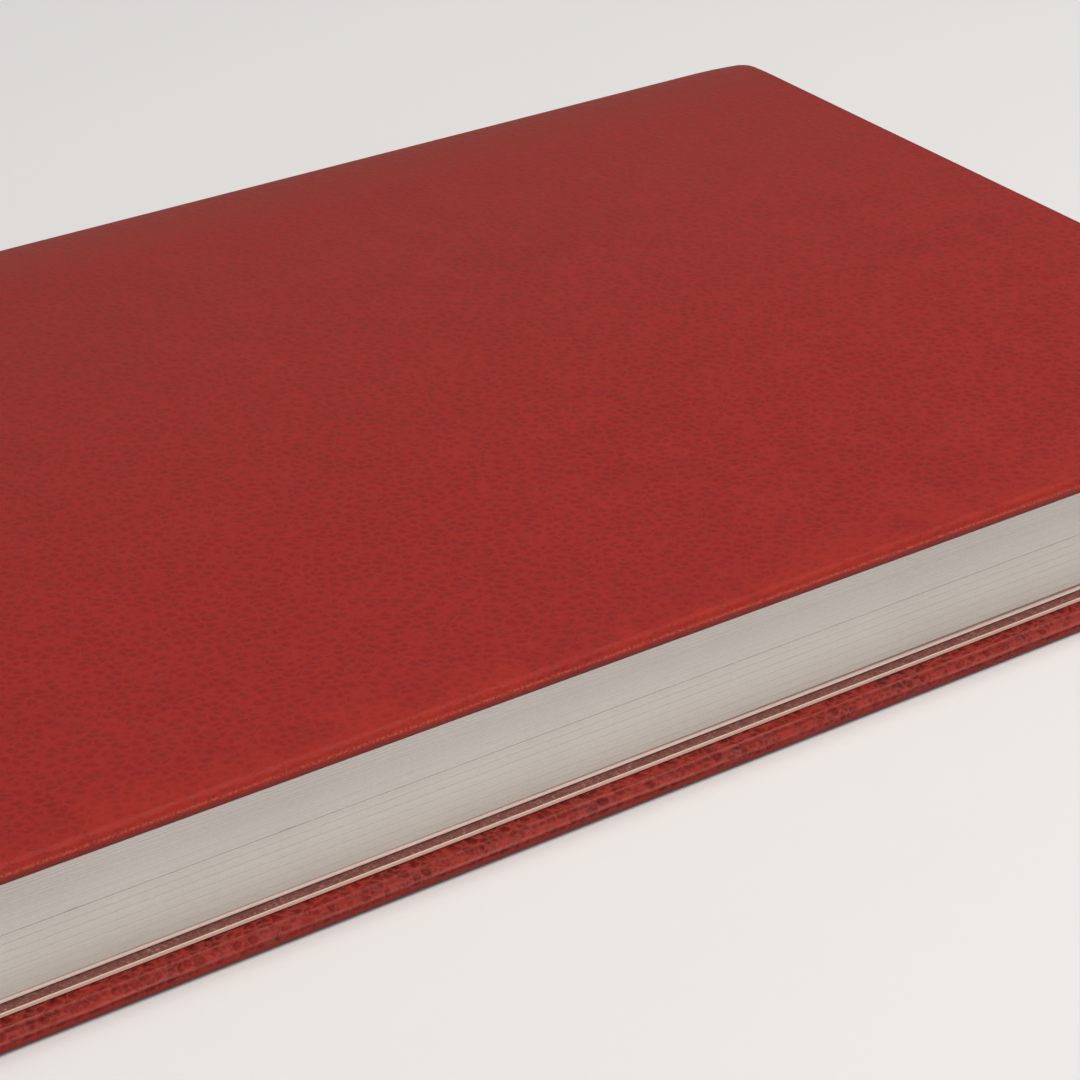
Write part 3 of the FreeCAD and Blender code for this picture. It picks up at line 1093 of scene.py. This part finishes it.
keptMaterials = {k: objectPaper(m, "kept_" + k) for k, m in keptLooks.items()}
for node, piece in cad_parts.items():
    for ending, material in keptMaterials.items():
        if node.endswith(ending):
            piece.data.materials.clear()
            piece.data.materials.append(material)
print("inner pieces finished")


stageLook = {"floor": (0.86, 0.85, 0.84), "size": 3.0, "world": (0.95, 0.95, 0.96), "worldStrength": 0.35}


def floorMaterial():
    mat, tree, shader = newMaterial("pale_floor")
    at = objectVector(tree)
    cloud = noiseNode(tree, at, 3.0, 2)
    tone = mixColor(tree, cloud, tuple(0.97 * c for c in stageLook["floor"]), stageLook["floor"])
    tree.links.new(tone, shader.inputs["Base Color"])
    shader.inputs["Roughness"].default_value = 0.9
    return mat


reach = stageLook["size"] / 2
corners = [(-reach, -reach, 0), (reach, -reach, 0), (reach, reach, 0), (-reach, reach, 0)]
floorMesh = bpy.data.meshes.new("floor")
floorMesh.from_pydata(corners, [], [(0, 1, 2, 3)])
floorMesh.materials.append(floorMaterial())
floor = bpy.data.objects.new("floor", floorMesh)
bpy.context.scene.collection.objects.link(floor)
floor.location.z = cadLow.z - 0.02 * mm

world = bpy.data.worlds.new("soft_room")
bpy.context.scene.world = world
world.use_nodes = True
world.node_tree.nodes["Background"].inputs[0].default_value = (*stageLook["world"], 1)
world.node_tree.nodes["Background"].inputs[1].default_value = stageLook["worldStrength"]

lamps = {
    "key": {"at": (0.30, 0.22, 0.95), "size": 0.8, "power": 7.5, "color": (1.0, 0.98, 0.95)},
    "fill": {"at": (0.90, -0.45, 0.35), "size": 0.9, "power": 1.0, "color": (1.0, 0.97, 0.94)},
}
for name, lamp in lamps.items():
    light = bpy.data.lights.new(name, "AREA")
    light.shape = "DISK"
    light.size = lamp["size"]
    light.energy = lamp["power"]
    light.color = lamp["color"]
    holder = bpy.data.objects.new(name, light)
    bpy.context.scene.collection.objects.link(holder)
    holder.location = lamp["at"]
    holder.rotation_euler = (-Vector(lamp["at"])).to_track_quat("-Z", "Y").to_euler()

viewing = {
    "heading": 55.53,            # degrees round from the tail side
    "elevation": 29.25,
    "distance": 396.6 * mm,
    "aim": (-26.1 * mm, -11.35 * mm),   # from the fore-edge, and from the middle of its length
    "lens": 105.8,
}
turn, rise = math.radians(viewing["heading"]), math.radians(viewing["elevation"])
back = Vector((math.sin(turn) * math.cos(rise), -math.cos(turn) * math.cos(rise), math.sin(rise)))
aim = Vector((cadHigh.x + viewing["aim"][0], viewing["aim"][1], zTop))
lens = bpy.data.cameras.new("camera")
lens.lens = viewing["lens"]
lens.sensor_width = 36
camera = bpy.data.objects.new("camera", lens)
bpy.context.scene.collection.objects.link(camera)
camera.location = aim + back * viewing["distance"]
camera.rotation_euler = (-back).to_track_quat("-Z", "Y").to_euler()
bpy.context.scene.camera = camera
bpy.context.scene.view_settings.view_transform = "Standard"
print("stage set")
